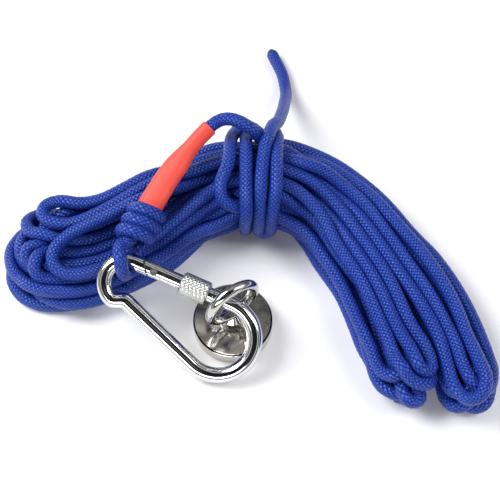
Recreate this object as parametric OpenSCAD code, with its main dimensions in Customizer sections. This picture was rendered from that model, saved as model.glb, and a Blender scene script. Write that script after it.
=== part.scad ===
// Magnet fishing set: a pot magnet with a lifting eye, hung on a screw-lock
// carabiner that is knotted to a hank of braided cord.
// Millimetres. The origin is the centre of the magnet's pull face, +Z up.

/* [Magnet] */
// Outer diameter of the steel pot
pot_d = 36; // [30:1:40]
// Height of the steel pot
pot_h = 8; // [7:0.5:9]
// Thickness of the magnet disc
disc_h = 4.7; // [4:0.1:5]
// Diameter of the magnet disc
disc_d = 27; // [22:1:28]

/* [Lifting eye] */
// Diameter of the eye's centre line
eye_d = 23; // [22:0.5:24]
// Thickness of the eye's wire
eye_wire = 4.7; // [4:0.1:5]
// Turn of the eye about the magnet's axis, in degrees
eye_turn = 35; // [33:1:40]

/* [Carabiner] */
// Thickness of the bent bar
bar_d = 7; // [6:0.5:7]
// Centre line radius of the wide bow
bow_r = 16.5; // [16:0.5:17]
// Centre line radius of the narrow end
narrow_r = 10; // [9.5:0.5:10.5]
// Distance between the two bends' centres along the back
back_l = 46.5; // [46:0.5:48]
// Step of the back towards the narrow end
back_step = 4; // [3.5:0.5:4.5]
// Diameter of the gate tube
gate_d = 6.7; // [6.3:0.1:6.9]
// Diameter of the screw sleeve
sleeve_d = 10.5; // [9.5:0.5:10.5]
// Length of the screw sleeve
sleeve_l = 13; // [11:0.5:13]

/* [Rope] */
// Diameter of the braided cord
rope_d = 6; // [5:0.5:6]
// Diameter of the knot
knot_d = 18; // [16:1:19]

/* [Hidden] */
$fn = 48;
eps = 0.01;

// Magnet
pot_wall = 2;
pot_roof = pot_h - disc_h - 0.1;
rim_round = 0.8;
thread_r = 3;
washer_h = 1.2;
washer_r = 6.2;
collar_r = 5;
collar_h = 3.3;
neck_h = 2.4;
eye_z = pot_h + washer_h + collar_h + eye_d / 2 + eye_wire / 2 - 0.8;

// Carabiner outline: x along the back towards the bow, y towards the gate
bar_r = bar_d / 2;
narrow_y = narrow_r - back_step;
gate_lean = 20.56;
bow_end = [-bow_r * sin(gate_lean), bow_r + bow_r * cos(gate_lean)];
narrow_end = [-back_l - narrow_r * sin(gate_lean), narrow_y + narrow_r * cos(gate_lean)];
step_l = 6;
carabiner_at = [-17.9, -21.5, 6.5];
carabiner_tilt = [27.5, 18.5, -40.4];

// Centre line of the bent bar, from the nose round to the hinge
function arc(centre, radius, from, to, n) =
    [for (i = [0 : n]) let (a = from + (to - from) * i / n)
        [centre.x + radius * cos(a), centre.y + radius * sin(a), 0]];
function on_gate_line(s) =
    [narrow_end.x + s * cos(gate_lean), narrow_end.y + s * sin(gate_lean), 0];
function bar_route() = concat(
    [on_gate_line(nose_x + 0.8)],
    arc([0, bow_r], bow_r, 90 + gate_lean, -90, 20),
    [for (i = [0 : 5])
        [step_l - back_l - step_l * i / 6, -back_step * (1 - cos(30 * i)) / 2, 0]],
    arc([-back_l, narrow_y], narrow_r, 270, 90 + gate_lean, 13),
    [on_gate_line(0.8)]);

// Gate: distances along the gate line from the narrow end
hinge_x = 10;
gate_tip = 38;
nose_x = 38.4;
sleeve_x = 22.9;
tongue_x = 36.7;
joint_slant = 33.3;
joint_gap = 3.9;
gate_cut = 3.2;
pin_r = 1.1;
blade_t = 2.6;
nose_t = 2.4;
slot_t = 2.9;
spring_bore = 2.2;
spring_x = 16.4;
spring_l = 11.4;
spring_turns = 7;
thread_pitch = 1.5;
thread_l = 6;

// Rope: routes are centre lines, from the carabiner towards the tail
rope_r = rope_d / 2;
knot_from = [-45.4, 26.5, 32];
knot_to = [-36.4, 43.5, 36.5];
bar_at_eye = [-48.2, 19, 29.1];
eye_loop_r = bar_r + rope_r + 0.25;
lead_route = [knot_to, [-29, 56, 40], [-21, 67, 43], [-15, 73.5, 45.5], [-9, 79, 48],
              [-4.5, 80.5, 50], [0.5, 79.5, 51], [5.5, 77.5, 50], [9.5, 76, 47]];
tail_route = [[17.5, 78.5, 41.5], [20.5, 87.5, 36], [22.5, 97, 29], [24, 106, 21.5],
              [25, 115.5, 14], [26, 123.5, 8], [26, 130, 4.5], [25.5, 135.5, 3], [24.5, 141, 3],
              [22.5, 146.5, 3], [20, 152.5, 3], [17.5, 159.5, 3]];
hank_left_outline = [[-7, 44], [-25, 27], [-40, 17], [-58, 8], [-72, 4], [-86, 4], [-98, 9],
                     [-106, 21], [-110, 34], [-108, 48], [-101, 57], [-90, 59], [-76, 59],
                     [-60, 65], [-44, 74], [-30, 84], [-18, 89], [-7, 90]];
hank_right_outline = [[22, 44], [34, 39], [44, 28], [50, 13], [54, 0], [58, -13], [66, -29],
                      [73, -41], [84, -46], [98, -48], [110, -42], [117, -30], [117, -14],
                      [109, 4], [101, 22], [91, 38], [77, 54], [63, 74], [48, 86], [34, 91],
                      [22, 91]];
tie_x = [-7, 22];
tie_front = 41;
tie_back = 90;
tie_h = 43;

function unit(v) = v / norm(v);
function frame_side(t, ref) = unit(cross(t, ref));
// The direction of a route at point i
function heading(p, i) = unit(p[min(i + 1, len(p) - 1)] - p[max(i - 1, 0)]);
// The corners of a tube's ring at point i, with half widths a and b
function ring_at(p, i, a, b, ref, sides) =
    let (t = heading(p, i), s = frame_side(t, ref), u = cross(s, t))
    [for (k = [0 : sides - 1]) p[i] + a * cos(360 * k / sides) * s + b * sin(360 * k / sides) * u];
function tube_points(p, r, ref, sides) =
    [for (i = [0 : len(p) - 1]) each ring_at(p, i, r, r, ref, sides)];
function tube_sides(rings, sides) =
    [for (i = [0 : rings - 2], k = [0 : sides - 1]) let (n = (k + 1) % sides)
        [i * sides + k, i * sides + n, (i + 1) * sides + n, (i + 1) * sides + k]];

// A solid tube swept along the points p
module swept(p, r, ref, sides = 10) {
    rings = len(p);
    start_cap = [for (k = [sides - 1 : -1 : 0]) k];
    end_cap = [for (k = [0 : sides - 1]) (rings - 1) * sides + k];
    polyhedron(tube_points(p, r, ref, sides),
               concat([start_cap], tube_sides(rings, sides), [end_cap]));
}

// Places its children in the carabiner's plane
module on_carabiner() {
    translate(carabiner_at) rotate(carabiner_tilt) children();
}

// Places its children along the gate line, x from the narrow end to the bow
module on_gate() {
    on_carabiner() translate([narrow_end.x, narrow_end.y, 0]) rotate([0, 0, gate_lean]) children();
}

// A cylinder along x, from x0 to x1
module along_x(x0, x1, r, r2 = undef) {
    translate([x0, 0, 0]) rotate([0, 90, 0])
        cylinder(h = x1 - x0, r1 = r, r2 = is_undef(r2) ? r : r2);
}

module pot_cup() {
    color([0.80, 0.77, 0.72]) rotate_extrude($fn = 96) polygon([
        [thread_r, pot_h - pot_roof], [pot_d / 2 - pot_wall, pot_h - pot_roof],
        [pot_d / 2 - pot_wall, 0], [pot_d / 2 - 0.3, 0], [pot_d / 2, 0.3],
        [pot_d / 2, pot_h - rim_round], [pot_d / 2 - rim_round, pot_h],
        [thread_r, pot_h]]);
}

module magnet_disc() {
    color([0.62, 0.63, 0.66]) cylinder(h = disc_h, d = disc_d, $fn = 96);
}

module resin_ring() {
    color([0.12, 0.12, 0.13]) difference() {
        translate([0, 0, 0.2]) cylinder(h = disc_h - 0.3, r = pot_d / 2 - pot_wall - 0.05, $fn = 96);
        translate([0, 0, -1]) cylinder(h = disc_h + 2, r = disc_d / 2 + 0.05, $fn = 96);
    }
}

module lock_washer() {
    color([0.70, 0.70, 0.70]) translate([0, 0, pot_h]) difference() {
        cylinder(h = washer_h, r = washer_r);
        translate([0, 0, -1]) cylinder(h = washer_h + 2, r = thread_r + 0.1);
        rotate([0, 0, -60]) translate([washer_r, 0, 0]) cube([washer_r + 4, 0.8, 4], center = true);
    }
}

module eye_bolt() {
    color([0.82, 0.82, 0.84]) union() {
        translate([0, 0, pot_h - pot_roof + 0.1])
            cylinder(h = pot_roof + washer_h, r = thread_r - 0.05);
        translate([0, 0, pot_h + washer_h]) cylinder(h = collar_h - 0.6, r = collar_r);
        translate([0, 0, pot_h + washer_h + collar_h - 0.6])
            cylinder(h = neck_h, r1 = collar_r, r2 = eye_wire / 2 + 0.2);
        translate([0, 0, eye_z]) rotate([0, 0, eye_turn]) rotate([90, 0, 0])
            rotate_extrude($fn = 96) translate([eye_d / 2, 0]) circle(d = eye_wire);
    }
}

// The half space of the gate's slanted hinge joint, beyond the given distance from the rivet
module joint_side(distance) {
    translate([hinge_x, 0, 0]) rotate([0, 0, 180 + joint_slant]) translate([distance, -20, -20])
        cube([40, 40, 40]);
}

// The flat blade that the gate swings on
module hinge_blade() {
    difference() {
        union() {
            intersection() {
                along_x(1, hinge_x, bar_r - 0.25);
                translate([0, -bar_d, -blade_t / 2]) cube([hinge_x, 2 * bar_d, blade_t]);
                translate([hinge_x, 0, 0]) cylinder(h = 40, r = 9.5, center = true);
            }
            intersection() {
                translate([hinge_x, 0, -blade_t / 2]) cylinder(h = blade_t, r = 2.9);
                translate([0, -bar_d, -bar_d]) cube([hinge_x + 2.4, 2 * bar_d, 2 * bar_d]);
            }
        }
        translate([hinge_x, 0, 0]) cylinder(h = 20, r = pin_r + 0.04, center = true);
    }
}

// The tongue on the nose that the gate's slot closes on
module nose_blade() {
    translate([tongue_x, -bar_r + 0.8, -nose_t / 2])
        cube([nose_x - tongue_x + 0.5, 2 * bar_r - 1.6, nose_t]);
}

module carabiner_body() {
    color([0.80, 0.80, 0.82]) union() {
        on_carabiner() swept(bar_route(), bar_r, [0, 0, 1], 24);
        on_gate() intersection() {
            along_x(0, hinge_x, bar_r + 0.03);
            joint_side(joint_gap);
        }
        on_gate() hinge_blade();
        on_gate() along_x(nose_x, nose_x + 3, bar_r + 0.03);
        on_gate() nose_blade();
    }
}

module carabiner_gate() {
    color([0.84, 0.84, 0.86]) on_gate() difference() {
        union() {
            along_x(hinge_x - 6.2, gate_tip, gate_d / 2);
            for (i = [0 : 5])
                along_x(sleeve_x + 1 + i * thread_pitch, sleeve_x + 1.7 + i * thread_pitch,
                        gate_d / 2 + 0.15);
        }
        joint_side(gate_cut);
        // room for the hinge blade
        translate([hinge_x - 10, -10, -slot_t / 2]) cube([13.6, 20, slot_t]);
        // room for the nose's tongue
        translate([tongue_x - 0.2, -10, -slot_t / 2]) cube([10, 20, slot_t]);
        translate([hinge_x, 0, 0]) cylinder(h = 20, r = pin_r + 0.04, center = true);
        along_x(hinge_x + 2.3, spring_x + spring_l + 0.2, spring_bore);
    }
}

module hinge_rivet() {
    color([0.75, 0.75, 0.77]) on_gate() translate([hinge_x, 0, 0]) {
        cylinder(h = gate_d + 0.2, r = pin_r, center = true);
        for (side = [-1, 1])
            translate([0, 0, side * (gate_d / 2 + 0.21)]) cylinder(h = 0.4, r = 1.7, center = true);
    }
}

module spring_plunger() {
    color([0.70, 0.70, 0.72]) on_gate() {
        along_x(hinge_x + 2.5, spring_x - 0.2, spring_bore - 0.25);
        along_x(spring_x - 0.3, spring_x + 2.6, 1.1);
    }
}

module gate_spring() {
    steps = 10;
    wire = 0.3;
    route = [for (i = [0 : spring_turns * steps]) let (a = 360 * i / steps)
        [spring_x + 0.8 + (spring_l - 1.2) * i / (spring_turns * steps),
         (spring_bore - 0.55) * cos(a), (spring_bore - 0.55) * sin(a)]];
    color([0.60, 0.60, 0.62]) on_gate() swept(route, wire, [1, 0, 0], 6);
}

module screw_sleeve() {
    chamfer = 0.7;
    color([0.72, 0.73, 0.74]) on_gate() difference() {
        union() {
            along_x(sleeve_x, sleeve_x + chamfer, sleeve_d / 2 - chamfer, sleeve_d / 2);
            along_x(sleeve_x + chamfer - eps, sleeve_x + sleeve_l - chamfer + eps, sleeve_d / 2);
            along_x(sleeve_x + sleeve_l - chamfer, sleeve_x + sleeve_l, sleeve_d / 2,
                    sleeve_d / 2 - chamfer);
        }
        along_x(sleeve_x - 1, sleeve_x + sleeve_l + 1, gate_d / 2 + 0.25);
        along_x(sleeve_x + thread_l, sleeve_x + sleeve_l + 1, bar_r + 1);
    }
}

// Shrink tube: an oval over two strands that steps down to round over one
module shrink_tube() {
    route = [[-37.4, 42, 36.3], [-33, 49.5, 38.2], [-29, 56, 40], [-25, 61.5, 41.5],
             [-22, 65.5, 42.6], [-19, 69, 43.8], [-15, 73.5, 45.5], [-9, 79, 48]];
    half_w = [5.6, 5.6, 5.6, 5.5, 4.6, 3.9, 3.8, 3.8];
    half_h = [4.0, 4.0, 4.0, 4.0, 3.9, 3.8, 3.8, 3.8];
    skin = 0.7;
    sides = 20;
    rings = len(route);
    outer = [for (i = [0 : rings - 1])
        each ring_at(route, i, half_w[i], half_h[i], [0, 0, 1], sides)];
    inner = [for (i = [0 : rings - 1])
        each ring_at(route, i, half_w[i] - skin, half_h[i] - skin, [0, 0, 1], sides)];
    count = rings * sides;
    shell = tube_sides(rings, sides);
    lining = [for (f = shell) [f[3] + count, f[2] + count, f[1] + count, f[0] + count]];
    first_lip = [for (k = [0 : sides - 1]) let (n = (k + 1) % sides) [k, k + count, n + count, n]];
    last = (rings - 1) * sides;
    last_lip = [for (f = first_lip) [f[3] + last, f[2] + last, f[1] + last, f[0] + last]];
    color([0.95, 0.28, 0.22])
        polyhedron(concat(outer, inner), concat(shell, lining, first_lip, last_lip));
}

module rope_eye() {
    from_angle = 65;
    to_angle = 285;
    arc = [for (a = [from_angle : 20 : to_angle])
        bar_at_eye + [(a - 175) / 60, eye_loop_r * cos(a), eye_loop_r * sin(a)]];
    color([0.05, 0.18, 0.75])
        swept(concat([knot_from + [0, 2, 2]], arc, [knot_from + [0, 1, -3]]), rope_r, [1, 0, 0]);
}

module rope_knot() {
    axis = knot_to - knot_from;
    long = norm(axis);
    round = 5;
    color([0.05, 0.18, 0.75]) translate(knot_from)
        rotate([0, acos(axis.z / long), atan2(axis.y, axis.x)])
        rotate_extrude() intersection() {
            translate([0, -1]) square([knot_d, long + 2]);
            hull() {
                translate([knot_d / 2 - round, round]) circle(round);
                translate([knot_d / 2 - round, long - round]) circle(round);
                square([1, long]);
            }
            square([knot_d, long]);
        }
}

module rope_lead() {
    color([0.05, 0.18, 0.75]) swept(lead_route, rope_r, [0, 0, 1]);
}

// A hank half: the outline at three heights, drawn in as it rises
module hank_half(outline, heights, insets) {
    color([0.04, 0.16, 0.68]) for (i = [0 : len(heights) - 1])
        linear_extrude(heights[i]) offset(r = -insets[i]) polygon(outline);
}

module rope_hank_left() {
    color([0.04, 0.16, 0.68]) union() {
        hank_half(hank_left_outline, [14, 19, 24], [0, 7, 14]);
        translate([-30, 0, 0]) linear_extrude(34) polygon([[0, 48], [23, 54], [23, 82], [0, 72]]);
    }
}

module rope_hank_right() {
    color([0.04, 0.16, 0.68]) union() {
        hank_half(hank_right_outline, [18, 25], [0, 8]);
        linear_extrude(34) polygon([[22, 52], [42, 44], [58, 62], [40, 80], [22, 84]]);
    }
}

// The turns that tie the hank at its middle
module rope_tie() {
    round = 14;
    color([0.05, 0.18, 0.75]) translate([tie_x[0], 0, 0]) rotate([90, 0, 90])
        linear_extrude(tie_x[1] - tie_x[0]) hull() {
            for (y = [tie_front + round, tie_back - round])
                translate([y, tie_h - round]) circle(round);
            for (y = [tie_front + 8, tie_back - 8]) translate([y, 8]) circle(8);
        }
}

module rope_tail() {
    color([0.05, 0.18, 0.75]) swept(tail_route, rope_r, [1, 0, 0]);
}

pot_cup();
magnet_disc();
resin_ring();
eye_bolt();
lock_washer();
carabiner_body();
carabiner_gate();
hinge_rivet();
gate_spring();
spring_plunger();
screw_sleeve();
shrink_tube();
rope_eye();
rope_knot();
rope_lead();
rope_hank_left();
rope_tie();
rope_hank_right();
rope_tail();
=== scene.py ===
"""Looks of the magnet fishing set: a pot magnet on a screw-lock carabiner, tied to a hank of braided cord."""
import math

import bmesh
import bpy
import numpy as np
from mathutils import Matrix, Vector


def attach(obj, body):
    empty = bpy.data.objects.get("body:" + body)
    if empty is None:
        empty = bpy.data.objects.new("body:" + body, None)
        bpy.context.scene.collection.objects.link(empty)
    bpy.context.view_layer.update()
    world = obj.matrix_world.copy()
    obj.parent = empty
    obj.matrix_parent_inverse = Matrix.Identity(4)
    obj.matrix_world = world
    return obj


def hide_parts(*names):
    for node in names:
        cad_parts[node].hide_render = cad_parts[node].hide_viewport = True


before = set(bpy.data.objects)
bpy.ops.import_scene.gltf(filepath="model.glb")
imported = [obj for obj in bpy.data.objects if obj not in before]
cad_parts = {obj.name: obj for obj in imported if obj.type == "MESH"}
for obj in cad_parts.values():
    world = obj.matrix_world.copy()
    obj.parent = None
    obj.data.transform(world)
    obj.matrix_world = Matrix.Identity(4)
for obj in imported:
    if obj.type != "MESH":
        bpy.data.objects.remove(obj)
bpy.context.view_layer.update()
MM = 0.001


# ---------------------------------------------------------------- camera
def add_camera(at, look_at, lens):
    data = bpy.data.cameras.new("camera")
    data.lens = lens
    data.sensor_width = 36
    camera = bpy.data.objects.new("camera", data)
    camera.location = at
    camera.rotation_euler = (Vector(look_at) - Vector(at)).to_track_quat("-Z", "Y").to_euler()
    bpy.context.collection.objects.link(camera)
    bpy.context.scene.camera = camera


add_camera(at=(0.0078, -0.2044, 0.4591), look_at=(0.0078, 0.0397, 0.0), lens=78.6)


# ---------------------------------------------------------------- materials
def new_material(name, **values):
    """A Principled material. Each value goes on the socket of that name, with _ for a space."""
    material = bpy.data.materials.new(name)
    material.use_nodes = True
    shader = material.node_tree.nodes["Principled BSDF"]
    for key, value in values.items():
        shader.inputs[key.replace("_", " ")].default_value = value
    return material


class Nodes:
    """Short ways to add nodes to a material."""

    def __init__(self, material):
        self.tree = material.node_tree
        self.shader = self.tree.nodes["Principled BSDF"]

    def add(self, kind, **settings):
        node = self.tree.nodes.new(kind)
        for key, value in settings.items():
            setattr(node, key, value)
        return node

    def link(self, source, target):
        self.tree.links.new(source, target)

    def plug(self, socket, value):
        if isinstance(value, (int, float)):
            socket.default_value = value
        else:
            self.link(value, socket)

    def math(self, operation, first, second=0.0):
        node = self.add("ShaderNodeMath", operation=operation)
        self.plug(node.inputs[0], first)
        self.plug(node.inputs[1], second)
        return node.outputs[0]

    def noise(self, scale, detail=3.0, stretch=(1, 1, 1)):
        place = self.add("ShaderNodeTexCoord")
        mapping = self.add("ShaderNodeMapping")
        mapping.inputs["Scale"].default_value = stretch
        self.link(place.outputs["Object"], mapping.inputs["Vector"])
        noise = self.add("ShaderNodeTexNoise")
        noise.inputs["Scale"].default_value = scale
        noise.inputs["Detail"].default_value = detail
        self.link(mapping.outputs["Vector"], noise.inputs["Vector"])
        return noise.outputs["Fac"]

    def spread(self, value, low, high, start=0.3, end=0.7):
        node = self.add("ShaderNodeMapRange")
        self.link(value, node.inputs["Value"])
        node.inputs["From Min"].default_value = start
        node.inputs["From Max"].default_value = end
        node.inputs["To Min"].default_value = low
        node.inputs["To Max"].default_value = high
        return node.outputs["Result"]

    def blend(self, factor, first, second):
        node = self.add("ShaderNodeMix", data_type="RGBA")
        self.link(factor, node.inputs["Factor"])
        for socket, colour in ((node.inputs[6], first), (node.inputs[7], second)):
            if isinstance(colour, tuple):
                socket.default_value = (*colour, 1)
            else:
                self.link(colour, socket)
        return node.outputs[2]

    def bump(self, height, depth, strength=1.0):
        node = self.add("ShaderNodeBump")
        node.inputs["Distance"].default_value = depth
        node.inputs["Strength"].default_value = strength
        self.link(height, node.inputs["Height"])
        self.link(node.outputs["Normal"], self.shader.inputs["Normal"])


def metal(name, colour, smooth, rough, grain=900, scratch=0.000015):
    """Plated or plain metal with faint wear in its gloss."""
    material = new_material(name, Metallic=1.0)
    nodes = Nodes(material)
    wear = nodes.noise(grain * 0.35)
    nodes.link(nodes.spread(wear, smooth, rough), nodes.shader.inputs["Roughness"])
    darker = tuple(channel * 0.86 for channel in colour)
    nodes.link(nodes.blend(nodes.noise(70), darker, colour), nodes.shader.inputs["Base Color"])
    nodes.bump(nodes.noise(grain, stretch=(1, 1, 6)), scratch, 0.5)
    return material


def rope_material():
    """Glossy blue filament yarn, braided: two sets of yarns that pass over and under each other."""
    material = new_material("rope_blue", Roughness=0.36, Specular_IOR_Level=0.7,
                            Specular_Tint=(0.40, 0.58, 1.0, 1))
    shader = material.node_tree.nodes["Principled BSDF"]
    shader.inputs["Sheen Weight"].default_value = 0.02
    shader.inputs["Sheen Roughness"].default_value = 0.4
    shader.inputs["Sheen Tint"].default_value = (0.35, 0.5, 1.0, 1)
    nodes = Nodes(material)
    uv = nodes.add("ShaderNodeUVMap", uv_map="lay")
    split = nodes.add("ShaderNodeSeparateXYZ")
    nodes.link(uv.outputs["UV"], split.inputs["Vector"])
    around = nodes.math("MULTIPLY", split.outputs["X"], 1.25)
    along = nodes.math("MULTIPLY", split.outputs["Y"], 1.6)
    rising = nodes.math("ADD", around, along)
    falling = nodes.math("SUBTRACT", around, along)
    crowns = []
    for lengthwise, across in ((rising, falling), (falling, rising)):
        ridge = nodes.math("SINE", nodes.math("MULTIPLY", nodes.math("FRACT", lengthwise), math.pi))
        arch = nodes.math("SINE", nodes.math("MULTIPLY", nodes.math("FRACT", across), math.pi))
        crowns.append(nodes.math("MULTIPLY", ridge, nodes.math("POWER", arch, 0.5)))
    cells = nodes.math("ADD", nodes.math("FLOOR", rising), nodes.math("FLOOR", falling))
    over = nodes.math("MODULO", nodes.math("ABSOLUTE", cells), 2.0)
    picked = nodes.math("MULTIPLY", over, crowns[0])
    other = nodes.math("MULTIPLY", nodes.math("SUBTRACT", 1.0, over), crowns[1])
    height = nodes.math("ADD", picked, other)
    fibres = nodes.noise(2600, 2.0)
    # Painted shade: the blue darkens into the grooves between the yarn crowns and is lighter on the crowns.
    painted_groove_shade = nodes.blend(nodes.spread(height, 0, 1, 0.1, 0.85), (0.0012, 0.0055, 0.085), (0.006, 0.030, 0.36))
    # Painted highlight: the crowns are blended towards a bright blue, flecked by the fibre noise.
    tone = nodes.blend(nodes.spread(fibres, 0, 1), painted_groove_shade, (0.075, 0.200, 0.90))
    painted_shade_and_highlight = nodes.blend(nodes.spread(height, 0, 0.55, 0.35, 1.0), painted_groove_shade, tone)
    melted = nodes.math("GREATER_THAN", split.outputs["X"], 12.0)
    tipped = nodes.blend(melted, painted_shade_and_highlight, (0.002, 0.006, 0.06))
    nodes.link(tipped, nodes.shader.inputs["Base Color"])
    nodes.bump(nodes.math("ADD", height, nodes.math("MULTIPLY", fibres, 0.12)), 0.00035, 0.8)
    return material


def shrink_material():
    """Matt heat-shrink tube in coral red."""
    material = new_material("shrink_red", Roughness=0.5, Specular_IOR_Level=0.4)
    nodes = Nodes(material)
    tone = nodes.blend(nodes.noise(160), (0.76, 0.060, 0.040), (0.86, 0.085, 0.058))
    nodes.link(tone, nodes.shader.inputs["Base Color"])
    nodes.bump(nodes.noise(420, stretch=(1, 1, 1)), 0.00012, 0.5)
    return material


looks = {
    "pot_nickel": metal("pot_nickel", (0.62, 0.59, 0.54), 0.10, 0.18),
    "magnet": metal("magnet", (0.50, 0.51, 0.54), 0.25, 0.40),
    "eye_nickel": metal("eye_nickel", (0.58, 0.58, 0.56), 0.08, 0.16),
    "washer_steel": metal("washer_steel", (0.56, 0.56, 0.56), 0.22, 0.36),
    "bar_nickel": metal("bar_nickel", (0.76, 0.76, 0.76), 0.06, 0.14),
    "gate_nickel": metal("gate_nickel", (0.78, 0.78, 0.78), 0.10, 0.20),
    "pin_steel": metal("pin_steel", (0.62, 0.62, 0.63), 0.20, 0.32),
    "spring_steel": metal("spring_steel", (0.50, 0.50, 0.52), 0.25, 0.38),
    "knurled_steel": metal("knurled_steel", (0.66, 0.66, 0.64), 0.26, 0.40),
    "resin": new_material("resin", Base_Color=(0.02, 0.02, 0.022, 1), Roughness=0.45),
    "shrink_red": shrink_material(),
    "rope_blue": rope_material(),
}


def paint_rim_reflection(material, radius, height):
    """A painted dark reflection: a dark line round the cup's upper edge, outside the radius and above the
    height.
    """
    nodes = Nodes(material)
    place = nodes.add("ShaderNodeTexCoord")
    split = nodes.add("ShaderNodeSeparateXYZ")
    nodes.link(place.outputs["Object"], split.inputs["Vector"])
    squares = [nodes.math("POWER", split.outputs[axis], 2.0) for axis in ("X", "Y")]
    outside = nodes.math("GREATER_THAN", nodes.math("ADD", *squares), radius**2)
    above = nodes.math("GREATER_THAN", split.outputs["Z"], height)
    plating = nodes.shader.inputs["Base Color"].links[0].from_socket
    # near-black colour of the painted reflection on the rim
    painted_rim_reflection = nodes.blend(nodes.math("MULTIPLY", outside, above), plating, (0.035, 0.034, 0.033))
    nodes.link(painted_rim_reflection, nodes.shader.inputs["Base Color"])


# the cup's rim gets a painted dark reflection
paint_rim_reflection(looks["pot_nickel"], 17.3 * MM, 7.3 * MM)


# ---------------------------------------------------------------- swept meshes
def new_piece(name, points, faces, material, body, smooth=True):
    mesh = bpy.data.meshes.new(name)
    mesh.from_pydata([tuple(p) for p in points], [], [tuple(f) for f in faces])
    mesh.polygons.foreach_set("use_smooth", [smooth] * len(mesh.polygons))
    mesh.materials.append(looks[material])
    mesh.update()
    piece = bpy.data.objects.new(name, mesh)
    bpy.context.collection.objects.link(piece)
    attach(piece, body)
    return piece


def headings(path):
    """Unit direction of the path at each of its points."""
    step = np.gradient(path, axis=0)
    return step / np.linalg.norm(step, axis=1, keepdims=True)


def carried_frames(path):
    """Two directions square to the path at each point, carried along it without twist."""
    ahead = headings(path)
    side = np.zeros_like(path)
    first = np.cross(ahead[0], [0.0, 0.0, 1.0])
    side[0] = first / np.linalg.norm(first)
    for i in range(1, len(path)):
        turned = side[i - 1] - ahead[i] * np.dot(side[i - 1], ahead[i])
        side[i] = turned / np.linalg.norm(turned)
    return side, np.cross(side, ahead)


def ring_faces(rings, sides, closed=False):
    """Quads between neighbouring rings of a tube."""
    i = np.arange(rings if closed else rings - 1)[:, None]
    k = np.arange(sides)[None]
    near = (i * sides) % (rings * sides)
    far = ((i + 1) * sides) % (rings * sides)
    after = (k + 1) % sides
    return np.stack([near + k, near + after, far + after, far + k], -1).reshape(-1, 4)


def smooth_line(points, per):
    """Catmull-Rom curve through the points."""
    p = np.asarray(points, float)
    p = np.vstack([2 * p[0] - p[1], p, 2 * p[-1] - p[-2]])
    t = np.linspace(0, 1, per, endpoint=False)[:, None]
    parts = []
    for i in range(1, len(p) - 2):
        a, b, c, d = p[i - 1 : i + 3]
        squared, cubed = 2 * a - 5 * b + 4 * c - d, 3 * b - a - 3 * c + d
        parts.append(0.5 * (2 * b + (c - a) * t + squared * t**2 + cubed * t**3))
    return np.vstack(parts + [p[-2][None]])


def evenly(path, step):
    """The same path with points at equal distances."""
    run = np.concatenate([[0], np.cumsum(np.linalg.norm(np.diff(path, axis=0), axis=1))])
    at = np.linspace(0, run[-1], int(round(run[-1] / step)) + 1)
    return np.stack([np.interp(at, run, path[:, k]) for k in range(3)], 1)


# ---------------------------------------------------------------- the cord's route, in millimetres
ROPE_R = 3.0
STEP = 3.0
KNOT_FROM = np.array([-45.4, 26.5, 32.0])
KNOT_TO = np.array([-36.4, 43.5, 36.5])
BAR_AT_EYE = np.array([-48.2, 19.0, 29.1])
EYE_LOOP_R = 6.75
TUBE_ROUTE = np.array([(-37.4, 42, 36.3), (-33, 49.5, 38.2), (-29, 56, 40), (-25, 61.5, 41.5),
                       (-22, 65.5, 42.6), (-19, 69, 43.8), (-15, 73.5, 45.5), (-9, 79, 48)])
LEAD_ROUTE = [(-24, 63, 41.9), (-20, 68, 43.3), (-15, 73.5, 45.5), (-9, 79, 48), (-4.5, 80.5, 50),
              (0.5, 79.5, 51), (5.5, 77.5, 50), (9.5, 76, 47)]
LEAD_DOWN = [(12, 77.5, 43), (14.5, 78, 38.5), (19, 77, 33.5), (26, 75, 32.5), (34, 71, 31)]
TAIL_ROUTE = [(17.5, 78.5, 42.5), (20.5, 87.5, 36), (22.5, 97, 29), (24, 106, 21.5), (25, 115.5, 14),
              (26, 123.5, 8), (26, 130, 4.5), (25.5, 135.5, 3), (24.5, 141, 3), (22.5, 146.5, 3),
              (20, 152.5, 3), (17.5, 159.5, 3)]
# The hank's middle line from its left end: x, y and half width
HANK_LINE = np.array([(-100, 31.5, 21), (-86, 31.5, 24), (-72, 31.5, 25), (-58, 37, 24), (-40, 46.5, 23),
                      (-25, 56, 21.5), (-7, 64, 19), (7, 66.5, 18.5), (22, 67, 19.5), (34, 64, 21),
                      (53, 50.5, 22.5), (63.5, 33.5, 22), (72.5, 19, 23.5), (79.5, 4.5, 24.5),
                      (85.5, -12.5, 23), (89.5, -27, 21.5), (91.5, -38, 20.5)], float)
HANK_RUN = np.concatenate([[0], np.cumsum(np.linalg.norm(np.diff(HANK_LINE[:, :2], axis=0), axis=1))])
HANK_L = HANK_RUN[-1]
TIE_Y, TIE_Z, TIE_A, TIE_B = 65.5, 22.0, 22.5, 20.0

# A strand's place in the hank is (row from the floor, column from the front). Turns join two places.
LEFT_TURNS = [((3, 6), (3, 5)), ((3, 4), (3, 1)), ((2, 7), (2, 4)), ((1, 7), (2, 0)), ((0, 7), (1, 0)),
              ((0, 6), (0, 0)), ((2, 6), (2, 5)), ((2, 3), (2, 1)), ((1, 4), (2, 2)), ((1, 6), (1, 1)),
              ((1, 5), (1, 2)), ((0, 5), (0, 1)), ((0, 4), (0, 2)), ((0, 3), (1, 3))]
RIGHT_TURNS = [((3, 2), (3, 3)), ((3, 1), (2, 3)), ((2, 0), (2, 2)), ((2, 1), (1, 2)), ((1, 0), (1, 3)),
               ((1, 1), (0, 2)), ((0, 0), (0, 3)), ((3, 4), (3, 6)), ((3, 5), (2, 7)), ((2, 4), (2, 6)),
               ((2, 5), (1, 7)), ((1, 4), (1, 6)), ((1, 5), (0, 7)), ((0, 5), (0, 6)), ((0, 1), (0, 4))]
# Strands that change place under the tie, left place to right place
SHIFTED = {(2, 7): (3, 6), (3, 6): (3, 5), (3, 5): (3, 3), (3, 4): (3, 2)}
FIRST_PLACE = (3, 4)
LAST_PLACE = (2, 7)

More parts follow.
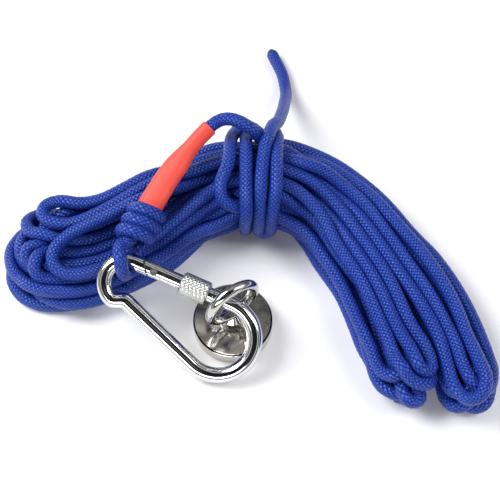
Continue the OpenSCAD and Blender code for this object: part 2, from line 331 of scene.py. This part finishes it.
# The loops that show at the left end: from the back round the turn to the front
LEFT_LOOPS = {
    ((3, 6), (3, 5)): [(-38.5, 63.5, 31), (-57, 55, 24.5), (-71, 51, 21.5), (-82.5, 49.5, 20.5),
                       (-90, 54, 20), (-96.5, 51.5, 19), (-95.5, 44, 19.5), (-87.5, 39.5, 21), (-79, 38.5, 22),
                       (-68, 44, 24), (-54, 50, 27.5), (-38, 58.5, 32)],
    ((3, 4), (3, 1)): [(-38, 53, 33), (-56, 43.5, 29), (-69.5, 38, 27), (-80, 31.5, 26), (-87.5, 26, 24),
                       (-90, 19.5, 22), (-86, 15, 20.5), (-77.5, 15, 20), (-66.5, 17.3, 19.5),
                       (-57.5, 20.5, 20), (-46, 27, 22)],
    ((2, 7), (2, 4)): [(-70, 47, 15), (-84, 48.5, 14), (-94, 51, 12.5), (-101.5, 49, 12), (-105.5, 44, 11),
                       (-103, 38.5, 11.5), (-94, 33, 13), (-80, 31, 14), (-62, 37, 16)],
    ((1, 7), (2, 0)): [(-80, 51, 9), (-93, 50, 9), (-101, 45, 7), (-105.3, 36, 7), (-103.5, 26.5, 7.5),
                       (-97, 17.5, 9), (-85, 11.3, 13), (-74, 11.5, 13.5), (-60.5, 15, 14), (-48, 22, 16)],
    ((0, 7), (1, 0)): [(-78, 50, 3), (-92, 46, 3), (-99, 39, 3), (-102, 29, 3), (-100.5, 20, 4),
                       (-95, 12.3, 6), (-83.5, 8.3, 7.5), (-70, 9, 8), (-58.5, 12, 8.5), (-46, 19, 10)],
}


def hank_at(share):
    """Centre, side direction and half width of the hank at shares of its length, and straight on past it."""
    run = np.atleast_1d(share).astype(float) * HANK_L

    def point(at):
        return np.stack([np.interp(at, HANK_RUN, HANK_LINE[:, k]) for k in (0, 1)], -1)

    first = (HANK_LINE[1, :2] - HANK_LINE[0, :2]) / HANK_RUN[1]
    last = (HANK_LINE[-1, :2] - HANK_LINE[-2, :2]) / (HANK_RUN[-1] - HANK_RUN[-2])
    centre = point(run) + np.maximum(run - HANK_L, 0)[:, None] * last + np.minimum(run, 0)[:, None] * first
    ahead = point(run + 4) - point(run - 4)
    ahead = np.where((run > HANK_L - 4)[:, None], last, np.where((run < 4)[:, None], first, ahead))
    ahead = ahead / np.linalg.norm(ahead, axis=1, keepdims=True)
    return centre, np.stack([-ahead[:, 1], ahead[:, 0]], -1), np.interp(run, HANK_RUN, HANK_LINE[:, 2])


def at_place(place, share):
    """A strand's position: flat layers towards the ends, packed round at the tie, two lobes at the right."""
    row, column = place
    share = np.atleast_1d(share).astype(float)
    centre, side, half = hank_at(share)
    across = (column - 3.5) / 3.5
    tied = np.interp(share, [0.21, 0.384, 0.49, 0.672], [0, 1, 1, 0])
    level = (row / 1.5 - 1) * 0.85 + (0.3 if column % 2 else -0.3)
    flat_y, flat_z = across * (half - 3), 3.2 + row * 5.5
    round_y = across * 16.5 * np.sqrt(max(1 - level * level / 2, 0.2))
    round_z = TIE_Z + 13.2 * level * np.sqrt(1 - across * across / 2)
    lobe = np.interp(share, [0.75, 0.90], [0, 1]) * (2.5 if column >= 4 else -2.5)
    sideways = flat_y * (1 - tied) + round_y * tied + lobe
    height = flat_z * (1 - tied) + round_z * tied
    return np.concatenate([centre + side * sideways[:, None], height[:, None]], 1)


def turn(start, stop, share, outwards):
    """The U-turn between two places round the end of the hank."""
    a, b = at_place(start, share)[0], at_place(stop, share)[0]
    side = np.append(hank_at(share)[1][0], 0)
    away = np.array([side[1], -side[0], 0]) * outwards
    flat = (b - a) * [1, 1, 0]
    gap = np.linalg.norm(flat)
    towards = flat / gap if gap > 1 else side
    radius = max(gap / 2, 6.6)
    angle = np.linspace(0, math.pi, 9)[1:-1]
    bow = away * (1.05 * radius * np.sin(angle))[:, None] - towards * (radius * np.cos(angle))[:, None]
    points = (a + b) / 2 + bow
    points[:, 2] = a[2] + (b[2] - a[2]) * (1 - np.cos(angle)) / 2
    return points


def wavering(place, shares, rng):
    """A run of the hank along one place, which wanders a little sideways away from the tie."""
    size, phase, pitch = rng.uniform(0, 1.6), rng.uniform(0, 6.3), rng.uniform(5, 9)
    points = at_place(place, shares)
    fade = np.clip((shares - 0.54) / 0.1, 0, 1)
    points[:, :2] += hank_at(shares)[1] * (size * fade * np.sin(shares * pitch + phase))[:, None]
    return points


def both_ways(pairs):
    table = dict(pairs)
    table.update({b: a for a, b in pairs})
    return table


def hank_points():
    """The whole hank as one line, from the first strand's start at the tie to the last one's end there."""
    rng = np.random.default_rng(4)
    right, left = both_ways(RIGHT_TURNS), both_ways(LEFT_TURNS)
    unshifted = {b: a for a, b in SHIFTED.items()}
    right_end, left_end = {}, {}
    for a, b in RIGHT_TURNS:
        tip = 1.045 if min(a[1], b[1]) < 4 else 1.075
        if (a, b) == ((0, 1), (0, 4)):
            tip = 1.0
        reach = max(abs(a[1] - b[1]) * 3.3, 6.6) + 3
        right_end[frozenset((a, b))] = tip - reach / HANK_L - rng.uniform(0, 0.03)
    for a, b in LEFT_TURNS:
        half = abs(a[1] - b[1]) * 3.15
        reach = (max(half, 6.6) + 3) / HANK_L + (22 - half) * 0.0012
        left_end[frozenset((a, b))] = reach - 0.055 + rng.uniform(0, 0.03)
    shown = {}
    for (a, b), points in LEFT_LOOPS.items():
        shown[a, b] = points
        shown[b, a] = points[::-1]
    parts = []
    place, start = FIRST_PLACE, 0.576
    while True:
        end = right_end[frozenset((place, right[place]))]
        parts.append(wavering(place, np.linspace(start, end, 9), rng))
        parts.append(turn(place, right[place], end, 1))
        place = right[place]
        if place == LAST_PLACE:
            parts.append(wavering(place, np.linspace(end, 0.53, 9), rng))
            return np.vstack(parts)
        parts.append(wavering(place, np.linspace(end, 0.48, 9), rng))
        start = 0.48
        place = unshifted.get(place, place)
        after = left[place]
        if (place, after) in shown:
            parts.append(at_place(place, np.linspace(0.45, 0.346, 4)))
            parts.append(np.array(shown[place, after], float))
            parts.append(at_place(after, np.linspace(0.346, 0.45, 4)))
        else:
            end = left_end[frozenset((place, after))]
            parts.append(at_place(place, np.linspace(0.45, end, 9)))
            parts.append(turn(place, after, end, -1))
            parts.append(at_place(after, np.linspace(end, 0.45, 9)))
        place = SHIFTED.get(after, after)


def knot_points():
    """From the dead end in the tube, round the knot, over the carabiner's bar and back through the tube."""
    axis = KNOT_TO - KNOT_FROM
    length = np.linalg.norm(axis)
    along = axis / length
    side = np.cross(along, [0, 0, 1])
    side /= np.linalg.norm(side)
    up = np.cross(side, along)
    turns, radius = 3.1, 6.4
    share = np.linspace(0, 1, int(turns * 12) + 1)[:, None]
    angle = math.radians(-70) - 2 * math.pi * turns * (1 - share)
    wraps = KNOT_FROM + along * (length * (0.90 - 0.84 * share))
    wraps = wraps + radius * (np.cos(angle) * side + np.sin(angle) * up)
    beside = np.array([0.86, -0.5, 0]) * 2.4
    loop_angle = np.radians(np.arange(290, 40, -20.0))
    loop = BAR_AT_EYE + np.stack([(np.degrees(loop_angle) - 175) / 60, EYE_LOOP_R * np.cos(loop_angle),
                                  EYE_LOOP_R * np.sin(loop_angle)], 1)
    core = [KNOT_FROM + along + up * 1.5, KNOT_FROM + along * 6, KNOT_FROM + along * 12]
    into_tube = TUBE_ROUTE[:3] - beside
    return np.vstack([TUBE_ROUTE[2::-1] + beside, wraps, loop, core, into_tube, LEAD_ROUTE])


def round_tie(degrees, x, out=0.0):
    """A point of a turn about the hank's tied middle, from the back over the top to the front."""
    angle = math.radians(degrees)
    return (x, TIE_Y + (TIE_A + out) * math.cos(angle), TIE_Z + (TIE_B + out) * math.sin(angle))


def tie_points():
    """The turns of the tie: degrees about the hank, x and how far out, between listed points."""
    first = [(35, 0.5), (60, -1), (85, -1.4), (103, -2), (114, -4.6), (125, -6.3), (136, -6.5),
             (147, -4.8, 0.8), (153, -1.5, 1), (154, 2.2, 0), (157, 5.6, -3.4), (163, 8, -5),
             (175, 8.5, -5.5), (195, 8.5, -5.5), (215, 8.5, -5.5)]
    under_first = [(8.5, 54, 9.6), (8, 62, 9), (7, 70, 9), (6.3, 79, 9), (6, 85, 13), (5.9, 87.5, 20)]
    second = [(20, 5.9), (40, 5.9), (60, 5.9), (80, 6), (100, 6), (118, 6), (134, 6, 1.5), (147, 6, 3.4),
              (158, 6, 3.2), (173, 6, 1.2), (192, 6), (212, 6), (232, 6.2)]
    under_second = [(7, 58, 3), (11, 66, 3), (15, 74, 3), (18, 81, 4.5), (19.3, 86, 11), (19.8, 87.7, 19)]
    third = [(10, 19.8), (30, 19.8), (50, 19.8), (70, 19.8), (90, 19.8), (110, 19.8), (130, 19.6),
             (148, 18.6), (165, 17.8), (182, 17.4), (200, 17.2)]
    bight = [(16.6, 46, 7.5), (14.4, 46, 5.2), (12.2, 45.8, 7.5)]
    up_again = [(200, 11.6, 0.5), (182, 11.6, 0.5), (162, 11.9, 0.5), (142, 12.3, 0.5), (122, 12.8, 0.5),
                (102, 13.4, 0.8), (84, 14.4, 1.5)]
    parts = []
    for turns, laid in ((first, under_first), (second, under_second), (third, bight), (up_again, [])):
        parts += [round_tie(*entry) for entry in turns] + laid
    return np.array(parts + [(15.6, 73.5, 44.6)], float)


def settle(points, held, pull, rounds=160, contact=5.9, floor=3.0):
    """Lets the laid-out cord settle: equal lengths, no strand inside another, no kinks, on the floor."""
    p, goal, n = points.copy(), points, len(points)
    free = (1 - held)[:, None]
    apart = contact + 2.2
    for count in range(rounds):
        if count % 8 == 0:
            q = p.astype(np.float32)
            square = (q * q).sum(1)
            firsts, seconds = [], []
            for k in range(0, n, 800):
                a, b = np.nonzero(square[k : k + 800, None] + square - 2 * q[k : k + 800] @ q.T < apart**2)
                keep = b > a + k + 3
                firsts.append(a[keep] + k)
                seconds.append(b[keep])
            first, second = np.concatenate(firsts), np.concatenate(seconds)
        p += free * pull[:, None] * (goal - p)
        p[:, 2] -= 0.03 * free[:, 0]
        straighter = (p[:-4] + p[4:]) / 2 - p[2:-2]
        size = np.linalg.norm(straighter, axis=1, keepdims=True)
        p[2:-2] += free[2:-2] * 0.25 * straighter * np.clip((size - 0.4) / 1.2, 0.08, 1)
        for _ in range(2):
            between = p[second] - p[first]
            size = np.linalg.norm(between, axis=1)
            near = (size < contact) & (size > 1e-6)
            a, b = first[near], second[near]
            push = between[near] / size[near, None] * ((contact - size[near]) * 0.3)[:, None]
            for k in range(3):
                ahead = np.bincount(b, push[:, k] * free[b, 0], n)
                p[:, k] += ahead - np.bincount(a, push[:, k] * free[a, 0], n)
        for _ in range(3):
            for odd in (0, 1):
                i = np.arange(odd, n - 1, 2)
                between = p[i + 1] - p[i]
                size = np.maximum(np.linalg.norm(between, axis=1, keepdims=True), 1e-6)
                fix = between * (1 - STEP / size) / np.maximum(free[i] + free[i + 1], 1e-9)
                p[i] += free[i] * fix
                p[i + 1] -= free[i + 1] * fix
        p[:, 2] = np.where((p[:, 2] < floor) & (held < 0.5), floor, p[:, 2])
    return p


def cord_path():
    """The settled centre line of the whole cord, in metres."""
    into_tie = [(24, 85.5, 27), (13, 88, 29), (5, 87.7, 32)]
    # stretches of the route: points, held still, pull towards the layout
    stretches = [(knot_points(), 1, 0), (LEAD_DOWN, 0, 0.02), (hank_points(), 0, 0.012), (into_tie, 0, 0.03),
                 (tie_points(), 0, 0.30), (TAIL_ROUTE[:1], 0, 0.1), (TAIL_ROUTE[1:], 1, 0)]
    laid = np.vstack([np.array(points, float) for points, _, _ in stretches])
    held = np.concatenate([np.full(len(points), float(hold)) for points, hold, _ in stretches])
    pull = np.concatenate([np.full(len(points), value) for points, _, value in stretches])
    per = 6
    line = smooth_line(laid, per)
    run = np.concatenate([[0], np.cumsum(np.linalg.norm(np.diff(line, axis=0), axis=1))])
    path = evenly(line, STEP)
    knot = np.interp(np.linspace(0, run[-1], len(path)), run, np.arange(len(line)) / per).astype(int)
    knot = np.minimum(knot, len(laid) - 1)
    path = settle(path, held[knot], pull[knot])
    return path * MM


# ---------------------------------------------------------------- the cord
BRAID_STEP = 1.5 * MM
BRAID_SIDES = 16
BRAID_RELIEF = 0.05 * MM


def braided_cord(path):
    """A tube whose skin rises and falls as the braid's yarns cross, with its lay in the UV map."""
    line = evenly(smooth_line((path[:-2] + 2 * path[1:-1] + path[2:]) / 4, 4), BRAID_STEP)
    side, up = carried_frames(line)
    rings, sides = len(line), BRAID_SIDES
    i = np.arange(rings)[:, None]
    k = np.arange(sides)[None]
    angle = 2 * math.pi * k / sides
    radius = ROPE_R * MM + BRAID_RELIEF * np.where((i + k) % 2, 1.0, -1.0)
    # the far end is melted to a blunt point
    left = (rings - 1 - i) * BRAID_STEP
    radius = radius * np.sqrt(np.clip((left + 0.4 * MM) / (3.2 * MM), 0.05, 1))
    points = line[:, None] + radius[..., None] * (
        np.cos(angle)[..., None] * side[:, None] + np.sin(angle)[..., None] * up[:, None])
    faces = ring_faces(rings, sides)
    caps = [np.arange(sides)[::-1], (rings - 1) * sides + np.arange(sides)]
    mesh = bpy.data.meshes.new("braided_cord")
    mesh.vertices.add(rings * sides)
    mesh.vertices.foreach_set("co", points.reshape(-1))
    mesh.loops.add(faces.size + 2 * sides)
    mesh.loops.foreach_set("vertex_index", np.concatenate([faces.reshape(-1), *caps]))
    mesh.polygons.add(len(faces) + 2)
    starts = np.append(np.arange(len(faces)) * 4, [faces.size, faces.size + sides])
    mesh.polygons.foreach_set("loop_start", starts)
    mesh.update(calc_edges=True)
    # one diamond of the braid is two sides wide and two rings long
    lay = mesh.uv_layers.new(name="lay")
    ring = np.repeat(np.arange(rings - 1), sides)
    around = np.tile(np.arange(sides), rings - 1)
    u = np.stack([around, around + 1, around + 1, around], 1) / 2
    # the melted tip is marked by its place in the map
    u = u + 16 * (ring > rings - 4)[:, None]
    v = np.stack([ring, ring, ring + 1, ring + 1], 1) / 2
    uv = np.concatenate([np.stack([u, v], -1).reshape(-1, 2), np.zeros((2 * sides, 2))])
    lay.data.foreach_set("uv", uv.reshape(-1))
    mesh.polygons.foreach_set("use_smooth", [True] * len(mesh.polygons))
    mesh.materials.append(looks["rope_blue"])
    mesh.update()
    cord = bpy.data.objects.new("braided_cord", mesh)
    bpy.context.collection.objects.link(cord)
    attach(cord, "carabiner")
    return cord, line


def shrink_tube():
    """Oval over two strands, stepping down to round over one, with an open lower mouth."""
    path = smooth_line(TUBE_ROUTE, 12) * MM
    path = path[: len(path) - 3]
    at = np.linspace(0, len(TUBE_ROUTE) - 1, len(path))
    stations = np.arange(len(TUBE_ROUTE))
    wide = np.interp(at, stations, [5.9, 5.7, 5.6, 5.5, 4.7, 3.9, 3.8, 3.8]) * MM
    high = np.interp(at, stations, [4.3, 4.1, 4.0, 4.0, 3.9, 3.8, 3.8, 3.8]) * MM
    ahead = headings(path)
    side = np.cross(ahead, [0.0, 0.0, 1.0])
    side /= np.linalg.norm(side, axis=1, keepdims=True)
    up = np.cross(side, ahead)
    sides = 48
    angle = 2 * math.pi * np.arange(sides) / sides
    layers = []
    for skin in (0.0, 0.6 * MM):
        # the tube clings a little between its two strands, and creases at the step
        cling = 1 - 0.10 * np.clip((wide / MM - 4.2) / 1.4, 0, 1)[:, None] * np.sin(angle)[None] ** 8
        crease = 0.10 * MM * np.sin(at * 21)[:, None] * np.cos(3 * angle + 1)[None]
        crease = crease * np.exp(-(((at - 3.6) / 0.9) ** 2))[:, None]
        a = wide[:, None] - skin + crease
        b = (high[:, None] - skin) * cling + crease
        layers.append(path[:, None] + (a * np.cos(angle))[..., None] * side[:, None]
                      + (b * np.sin(angle))[..., None] * up[:, None])
    rings = len(path)
    outer, inner = layers
    points = np.concatenate([outer, inner[::-1]]).reshape(-1, 3)
    faces = ring_faces(2 * rings, sides, closed=True)
    tube = new_piece("shrink_tube_skin", points, faces, "shrink_red", "carabiner")
    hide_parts("shrink_tube")
    return tube


tube = shrink_tube()
cord, cord_line = braided_cord(cord_path())
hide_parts("rope_eye", "rope_knot", "rope_lead", "rope_hank_left", "rope_tie", "rope_hank_right",
            "rope_tail")


# ---------------------------------------------------------------- the carabiner
CARABINER_AT = Vector((-17.9, -21.5, 6.5)) * MM
CARABINER_TILT = (27.5, 18.5, -40.4)
BAR_R = 3.5
BOW_R = 16.5
NARROW_R = 10.0
BACK_L = 46.5
BACK_STEP = 4.0
STEP_L = 6.0
GATE_LEAN = math.radians(20.56)
NARROW_Y = NARROW_R - BACK_STEP
NARROW_END = np.array([-BACK_L - NARROW_R * math.sin(GATE_LEAN),
                       NARROW_Y + NARROW_R * math.cos(GATE_LEAN), 0])
ALONG_GATE = np.array([math.cos(GATE_LEAN), math.sin(GATE_LEAN), 0])
HINGE_X = 10.0
NOSE_X = 38.4
TONGUE_X = 36.7
JOINT_SLANT = math.radians(33.3)
JOINT_GAP = 3.9
BLADE_T = 2.6
BLADE_R = 2.4
NOSE_T = 2.4
SLEEVE_X = 22.9
SLEEVE_L = 13.0
SLEEVE_R = 5.25

tilt = [math.radians(angle) for angle in CARABINER_TILT]
turned = (Matrix.Rotation(tilt[2], 4, "Z") @ Matrix.Rotation(tilt[1], 4, "Y")
          @ Matrix.Rotation(tilt[0], 4, "X"))
TO_WORLD = Matrix.Translation(CARABINER_AT) @ turned @ Matrix.Scale(MM, 4)
GATE_TO_PLANE = Matrix.Translation(Vector(NARROW_END)) @ Matrix.Rotation(GATE_LEAN, 4, "Z")


def arc(centre, radius, start, stop, count):
    angle = np.radians(np.linspace(start, stop, count))
    return np.stack([centre[0] + radius * np.cos(angle), centre[1] + radius * np.sin(angle), 0 * angle], 1)


def finish_mesh(name, form, material, body, *nodes):
    """Turns a bmesh in the carabiner's plane into a piece that replaces those nodes."""
    form.transform(TO_WORLD)
    bmesh.ops.recalc_face_normals(form, faces=form.faces)
    mesh = bpy.data.meshes.new(name)
    form.to_mesh(mesh)
    form.free()
    mesh.materials.append(looks[material])
    mesh.polygons.foreach_set("use_smooth", [True] * len(mesh.polygons))
    mesh.set_sharp_from_angle(angle=math.radians(35))
    piece = bpy.data.objects.new(name, mesh)
    bpy.context.collection.objects.link(piece)
    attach(piece, body)
    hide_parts(*nodes)
    return piece


def add_box(form, low, high, matrix):
    """A box with softened edges."""
    low, high = Vector(low), Vector(high)
    size = Matrix.Diagonal((*(high - low), 1))
    made = bmesh.ops.create_cube(form, size=1, matrix=matrix @ Matrix.Translation((low + high) / 2) @ size)
    edges = list({edge for vert in made["verts"] for edge in vert.link_edges})
    bmesh.ops.bevel(form, geom=edges, offset=0.3, segments=2, affect="EDGES", profile=0.6)


def carabiner_bar():
    """The bent bar with its slanted hinge end, the hinge's blade and the nose's tongue."""
    lean = math.degrees(GATE_LEAN)
    drop = np.arange(0, 1, 1 / 14)
    step_y = -BACK_STEP * (1 - np.cos(math.pi * drop)) / 2
    step = np.stack([STEP_L * (1 - drop) - BACK_L, step_y, 0 * drop], 1)
    stub = NARROW_END + np.outer(np.linspace(0, 12, 8)[1:], ALONG_GATE)
    nose = NARROW_END + np.outer(np.linspace(NOSE_X, 46, 6), ALONG_GATE)
    route = np.vstack([nose, arc((0, BOW_R), BOW_R, 90 + lean, -90, 90),
                       [(-x, 0, 0) for x in np.arange(4, BACK_L - STEP_L, 4)], step,
                       arc((-BACK_L, NARROW_Y), NARROW_R, 270, 90 + lean, 60), stub])
    ahead = headings(route)
    side = np.stack([-ahead[:, 1], ahead[:, 0], 0 * ahead[:, 0]], 1)
    sides = 48
    angle = 2 * math.pi * np.arange(sides) / sides
    ring = route[:, None] + BAR_R * (
        np.cos(angle)[None, :, None] * side[:, None] + np.sin(angle)[None, :, None] * np.array([0, 0, 1.0]))
    form = bmesh.new()
    verts = [form.verts.new(point) for point in ring.reshape(-1, 3)]
    for face in ring_faces(len(route), sides):
        form.faces.new([verts[k] for k in face])
    form.faces.new([verts[k] for k in range(sides)][::-1])
    form.faces.new(verts[-sides:])
    # the slanted face of the hinge joint
    point = NARROW_END + HINGE_X * ALONG_GATE
    slant = GATE_LEAN + math.pi + JOINT_SLANT
    normal = np.array([math.cos(slant), math.sin(slant), 0])
    near = [v for v in form.verts if np.linalg.norm(np.array(v.co) - point) < 9.5]
    geometry = near + list({e for v in near for e in v.link_edges})
    geometry += list({f for v in near for f in v.link_faces})
    cut = bmesh.ops.bisect_plane(form, geom=geometry, plane_co=Vector(point + normal * JOINT_GAP),
                                 plane_no=Vector(normal), clear_inner=True)
    rim = [e for e in cut["geom_cut"] if isinstance(e, bmesh.types.BMEdge)]
    bmesh.ops.edgeloop_fill(form, edges=rim)
    add_box(form, (1, -BLADE_R, -BLADE_T / 2), (HINGE_X, BLADE_R, BLADE_T / 2), GATE_TO_PLANE)
    bmesh.ops.create_cone(form, cap_ends=True, segments=48, radius1=BLADE_R, radius2=BLADE_R, depth=BLADE_T,
                          matrix=GATE_TO_PLANE @ Matrix.Translation((HINGE_X, 0, 0)))
    add_box(form, (TONGUE_X, -2.7, -NOSE_T / 2), (NOSE_X + 1, 2.7, NOSE_T / 2), GATE_TO_PLANE)
    return finish_mesh("carabiner_bar", form, "bar_nickel", "carabiner", "carabiner_body")


def screw_sleeve():
    """The sleeve, with a fine diamond knurl between two plain turned ends."""
    around, along = 30, 12
    per = 6
    sides = around * per
    border = 0.9
    grid = np.linspace(0, 1, along * per + 1)
    shape = [(SLEEVE_R - 0.75, 0.0, 0), (SLEEVE_R - 0.12, 0.55, 0)]
    shape += [(SLEEVE_R - 0.08, border + (SLEEVE_L - 2 * border) * g, 1) for g in grid]
    shape += [(SLEEVE_R - 0.12, SLEEVE_L - 0.55, 0), (SLEEVE_R - 0.75, SLEEVE_L, 0), (4.5, SLEEVE_L, 0),
              (4.5, 6.0, 0), (3.6, 6.0, 0), (3.6, 0.0, 0)]
    rings = []
    angle = 2 * math.pi * np.arange(sides) / sides
    turn_of = np.arange(sides) / per
    for radius, x, knurled in shape:
        row = x / (SLEEVE_L - 2 * border) * along
        peaks = np.minimum(np.abs((turn_of + row) % 2 - 1), np.abs((turn_of - row) % 2 - 1))
        lift = 0.32 * (peaks - 0.35) * knurled
        r = radius + lift
        rings.append(np.stack([SLEEVE_X + x + 0 * r, r * np.cos(angle), r * np.sin(angle)], 1))
    points = np.concatenate(rings)
    form = bmesh.new()
    verts = [form.verts.new(point) for point in points]
    for face in ring_faces(len(rings), sides, closed=True):
        form.faces.new([verts[k] for k in face])
    form.transform(GATE_TO_PLANE)
    return finish_mesh("knurled_sleeve", form, "knurled_steel", "sleeve", "screw_sleeve")


carabiner_bar()
screw_sleeve()


# ---------------------------------------------------------------- pieces that keep their plain shape
for node, slot in {
    "pot_cup": "pot_nickel",
    "magnet_disc": "magnet",
    "resin_ring": "resin",
    "eye_bolt": "eye_nickel",
    "lock_washer": "washer_steel",
    "carabiner_gate": "gate_nickel",
    "hinge_rivet": "pin_steel",
    "gate_spring": "spring_steel",
    "spring_plunger": "pin_steel",
}.items():
    piece = bpy.data.objects[node]
    for entry in piece.material_slots:
        entry.material = looks[slot]


# ---------------------------------------------------------------- floor and light
bpy.context.scene.view_settings.view_transform = "Standard"
FLOOR_REACH = 3.0


def add_floor():
    mesh = bpy.data.meshes.new("floor")
    corners = [(-FLOOR_REACH, -FLOOR_REACH, 0), (FLOOR_REACH, -FLOOR_REACH, 0),
               (FLOOR_REACH, FLOOR_REACH, 0), (-FLOOR_REACH, FLOOR_REACH, 0)]
    mesh.from_pydata(corners, [], [(0, 1, 2, 3)])
    mesh.materials.append(new_material("floor", Base_Color=(0.93, 0.93, 0.94, 1), Roughness=0.55))
    floor = bpy.data.objects.new("floor", mesh)
    bpy.context.collection.objects.link(floor)


def add_area_light(name, at, towards, size, power):
    data = bpy.data.lights.new(name, "AREA")
    data.shape = "RECTANGLE"
    data.size, data.size_y = size
    data.energy = power
    light = bpy.data.objects.new(name, data)
    light.location = at
    light.rotation_euler = (Vector(towards) - Vector(at)).to_track_quat("-Z", "Y").to_euler()
    bpy.context.collection.objects.link(light)


add_floor()
add_area_light("key", (-0.75, 0.30, 0.85), (0, 0.04, 0), (0.7, 0.7), 15.5)
add_area_light("fill", (0.75, 0.0, 0.7), (0, 0.04, 0), (0.4, 0.7), 5.0)
add_area_light("front", (-0.25, -0.85, 0.45), (0, 0.04, 0), (0.8, 0.25), 3.5)


def studio_world():
    """A bright room with a dark camera stand overhead and dark walls, for the metals to mirror."""
    world = bpy.data.worlds.new("studio")
    bpy.context.scene.world = world
    world.use_nodes = True
    tree = world.node_tree
    sky = tree.nodes["Background"]
    place = tree.nodes.new("ShaderNodeTexCoord")
    dot = tree.nodes.new("ShaderNodeVectorMath")
    dot.operation = "DOT_PRODUCT"
    tree.links.new(place.outputs["Generated"], dot.inputs[0])
    dot.inputs[1].default_value = (0.05, -0.47, 0.88)
    ramp = tree.nodes.new("ShaderNodeValToRGB")
    tree.links.new(dot.outputs["Value"], ramp.inputs["Fac"])
    bands = ramp.color_ramp
    # how nearly a direction points at the stand, and how bright the room is there
    stops = ((0.0, 0.25), (0.16, 0.35), (0.28, 0.95), (0.40, 1.0), (0.45, 0.10), (0.61, 0.04),
             (0.65, 1.0), (0.76, 1.0), (0.80, 0.04), (0.985, 0.015), (0.996, 0.25))
    while len(bands.elements) < len(stops):
        bands.elements.new(0.5)
    for element, (place_at, level) in zip(bands.elements, stops):
        element.position = place_at
        element.color = (level, level, level * 1.02, 1)
    tree.links.new(ramp.outputs["Color"], sky.inputs["Color"])
    sky.inputs["Strength"].default_value = 0.70


studio_world()
